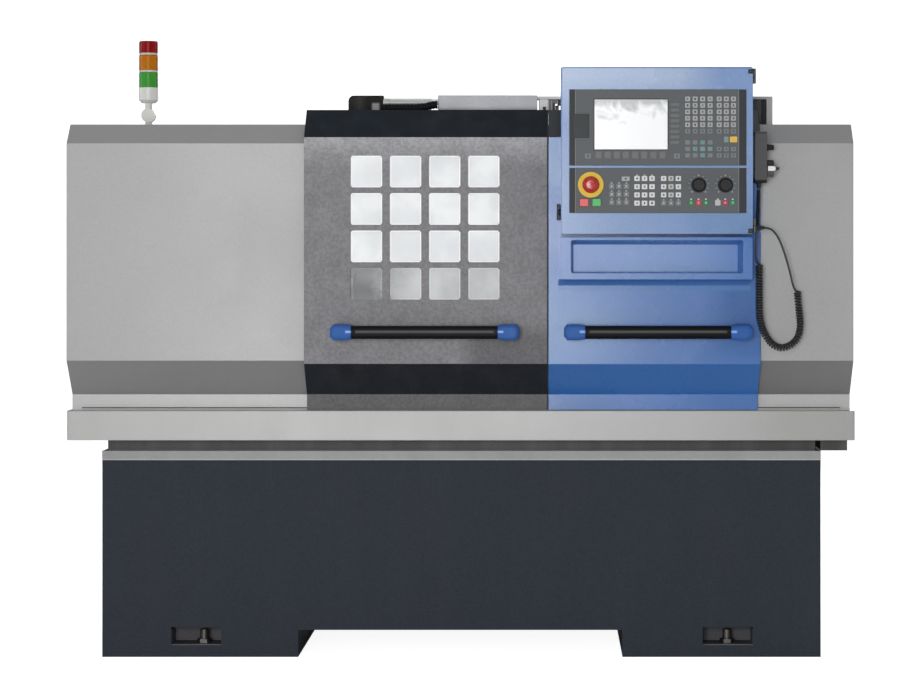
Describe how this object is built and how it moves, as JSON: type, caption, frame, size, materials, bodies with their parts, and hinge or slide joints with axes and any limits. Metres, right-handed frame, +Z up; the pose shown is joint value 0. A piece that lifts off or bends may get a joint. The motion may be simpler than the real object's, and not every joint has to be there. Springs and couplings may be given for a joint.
{
  "type": "cnc turning lathe",
  "caption": "Enclosed turning lathe on a cabinet base with two sliding front doors, a windowed guard, a hinged control panel and a three-tier beacon.",
  "frame": {"origin": "on the floor, under the middle of the machine", "axes": "+X along the bed to the tailstock end, +Z up, the operator's side faces -Y"},
  "size_m": [2.2, 1.28, 1.748],
  "materials": {
    "navy_paint": "satin",
    "light_grey_paint": "satin",
    "mill_grey_paint": "satin, mottled",
    "blue_paint": "satin",
    "black_plastic": "matt",
    "panel_grey": "matt",
    "key_grey": "matt",
    "screen": "gloss",
    "window": "clear",
    "cast_grey": "painted casting",
    "ground_steel": "ground",
    "dark_steel": "black oxide",
    "bright_metal": "satin",
    "red_plastic": "gloss",
    "green_plastic": "gloss",
    "lens": "translucent tiers",
    "white_plastic": "satin",
    "cord_black": "matt",
    "belt_rubber": "matt"
  },
  "bodies": {
    "machine": {"base_cabinet": "navy_paint", "base_neck": "light_grey_paint", "chip_tray": "light_grey_paint", "levelling_feet": "dark_steel", "left_cabinet": "light_grey_paint", "right_cabinet": "light_grey_paint", "rear_guard": "light_grey_paint", "top_beam": "light_grey_paint", "door_rails": "ground_steel", "cable_duct": "bright_metal", "duct_cover": "light_grey_paint", "cable_gland_block": "black_plastic", "beacon_foot": "white_plastic", "lathe_bed": "cast_grey", "headstock": "cast_grey", "main_motor": "cast_grey", "drive_belt": "belt_rubber", "feed_servo": "black_plastic", "electrical_cabinet": "light_grey_paint", "coolant_tank": "light_grey_paint"},
    "spindle": {"spindle": "ground_steel", "chuck_body": "dark_steel"},
    "jaw_1": {"chuck_jaw_1": "ground_steel"},
    "jaw_2": {"chuck_jaw_2": "ground_steel"},
    "jaw_3": {"chuck_jaw_3": "ground_steel"},
    "motor_rotor": {"motor_pulley": "cast_grey"},
    "carriage": {"carriage_saddle": "cast_grey"},
    "feed_screw": {"feed_screw": "ground_steel"},
    "cross_slide": {"cross_slide": "cast_grey"},
    "turret": {"tool_turret": "ground_steel", "cutting_tools": "dark_steel"},
    "tailstock": {"tailstock_body": "cast_grey"},
    "quill": {"tailstock_quill": "ground_steel"},
    "tail_wheel": {"tailstock_handwheel": "bright_metal"},
    "left_door": {"left_door": "mill_grey_paint", "window_glass": "window", "left_door_handle": "black_plastic"},
    "right_door": {"right_door": "blue_paint", "right_door_handle": "black_plastic", "operator_box": "blue_paint", "pocket_box": "blue_paint", "handheld_unit": "panel_grey", "cord_box_lead": "cord_black", "cord_curls": "cord_black", "cord_handheld_lead": "cord_black"},
    "panel": {"operator_panel": "blue_paint", "control_units": "panel_grey", "display_screen": "screen", "membrane_keys": "key_grey"},
    "emergency_stop": {"emergency_stop": "red_plastic"},
    "stop_button": {"stop_button": "red_plastic"},
    "start_button": {"start_button": "green_plastic"},
    "feed_dial": {"feed_dial": "black_plastic"},
    "speed_dial": {"speed_dial": "black_plastic"},
    "box_latch": {"box_latch": "black_plastic"},
    "handheld_wheel": {"handheld_wheel": "bright_metal"},
    "handheld_knob": {"handheld_knob": "black_plastic"},
    "beacon": {"beacon_base": "white_plastic", "beacon_lenses": "lens"},
    "electrical_door": {"electrical_door": "light_grey_paint"}
  },
  "joints": [
    {"name": "spindle_turn", "type": "hinge", "parent": "machine", "child": "spindle", "pos_m": [-0.4, -0.02, 1], "axis": [1, 0, 0], "continuous": true},
    {"name": "jaw_1_slide", "type": "slide", "parent": "spindle", "child": "jaw_1", "axis": [0, 0, -1], "range_m": [-0.006, 0.012]},
    {"name": "jaw_2_slide", "type": "slide", "parent": "spindle", "child": "jaw_2", "axis": [0, 0.866, 0.5], "range_m": [-0.006, 0.012]},
    {"name": "jaw_3_slide", "type": "slide", "parent": "spindle", "child": "jaw_3", "axis": [0, -0.866, 0.5], "range_m": [-0.006, 0.012]},
    {"name": "motor_turn", "type": "hinge", "parent": "machine", "child": "motor_rotor", "pos_m": [-0.9, 0.255, 0.8], "axis": [1, 0, 0], "continuous": true},
    {"name": "carriage_slide", "type": "slide", "parent": "machine", "child": "carriage", "axis": [1, 0, 0], "range_m": [-0.08, 0.25]},
    {"name": "feed_screw_turn", "type": "hinge", "parent": "machine", "child": "feed_screw", "pos_m": [0, -0.179, 0.762], "axis": [1, 0, 0], "range_deg": [-2885, 9010]},
    {"name": "cross_slide_slide", "type": "slide", "parent": "carriage", "child": "cross_slide", "axis": [0, 1, 0], "range_m": [-0.09, 0.018]},
    {"name": "turret_turn", "type": "hinge", "parent": "cross_slide", "child": "turret", "pos_m": [0.01, -0.13, 0.99], "axis": [0, 0, 1], "continuous": true},
    {"name": "tailstock_slide", "type": "slide", "parent": "machine", "child": "tailstock", "axis": [1, 0, 0], "range_m": [-0.15, 0.05]},
    {"name": "quill_slide", "type": "slide", "parent": "tailstock", "child": "quill", "axis": [-1, 0, 0], "range_m": [0, 0.1]},
    {"name": "tail_wheel_turn", "type": "hinge", "parent": "tailstock", "child": "tail_wheel", "pos_m": [0.74, -0.02, 1], "axis": [1, 0, 0], "range_deg": [-5, 7210]},
    {"name": "left_door_slide", "type": "slide", "parent": "machine", "child": "left_door", "axis": [1, 0, 0], "range_m": [-0.62, 0]},
    {"name": "right_door_slide", "type": "slide", "parent": "machine", "child": "right_door", "axis": [1, 0, 0], "range_m": [0, 0.25]},
    {"name": "panel_turn", "type": "hinge", "parent": "right_door", "child": "panel", "pos_m": [0.8068, -0.598, 1.4], "axis": [0, 0, 1], "range_deg": [0, 95]},
    {"name": "emergency_stop_press", "type": "slide", "parent": "panel", "child": "emergency_stop", "axis": [0, 1, 0], "range_m": [0, 0.003]},
    {"name": "stop_button_press", "type": "slide", "parent": "panel", "child": "stop_button", "axis": [0, 1, 0], "range_m": [0, 0.002], "stiffness_N_per_m": 400},
    {"name": "start_button_press", "type": "slide", "parent": "panel", "child": "start_button", "axis": [0, 1, 0], "range_m": [0, 0.002], "stiffness_N_per_m": 400},
    {"name": "feed_dial_turn", "type": "hinge", "parent": "panel", "child": "feed_dial", "pos_m": [0.6539, -0.612, 1.3217], "axis": [0, 1, 0], "range_deg": [-150, 150]},
    {"name": "speed_dial_turn", "type": "hinge", "parent": "panel", "child": "speed_dial", "pos_m": [0.7267, -0.612, 1.3217], "axis": [0, 1, 0], "range_deg": [-150, 150]},
    {"name": "box_latch_turn", "type": "hinge", "parent": "right_door", "child": "box_latch", "pos_m": [0.27, -0.574, 1.248], "axis": [1, 0, 0], "range_deg": [0, 90]},
    {"name": "handheld_wheel_turn", "type": "hinge", "parent": "right_door", "child": "handheld_wheel", "pos_m": [0.85, -0.562, 1.368], "axis": [1, 0, 0], "continuous": true},
    {"name": "handheld_knob_turn", "type": "hinge", "parent": "right_door", "child": "handheld_knob", "pos_m": [0.85, -0.562, 1.4265], "axis": [1, 0, 0], "range_deg": [-90, 90]},
    {"name": "beacon_tilt", "type": "hinge", "parent": "machine", "child": "beacon", "pos_m": [-0.91, -0.2, 1.534], "axis": [0, 1, 0], "range_deg": [0, 90]},
    {"name": "electrical_door_turn", "type": "hinge", "parent": "machine", "child": "electrical_door", "pos_m": [-1.0255, 0.612, 1.08], "axis": [0, 0, 1], "range_deg": [0, 110]}
  ],
  "couplings": [
    {"joint": "jaw_2_slide", "follows": "jaw_1_slide", "ratio": 1},
    {"joint": "jaw_3_slide", "follows": "jaw_1_slide", "ratio": 1},
    {"joint": "motor_turn", "follows": "spindle_turn", "ratio": 1.5385},
    {"joint": "feed_screw_turn", "follows": "carriage_slide", "rad_per_m": 628.32},
    {"joint": "tail_wheel_turn", "follows": "quill_slide", "rad_per_m": 1256.6}
  ]
}
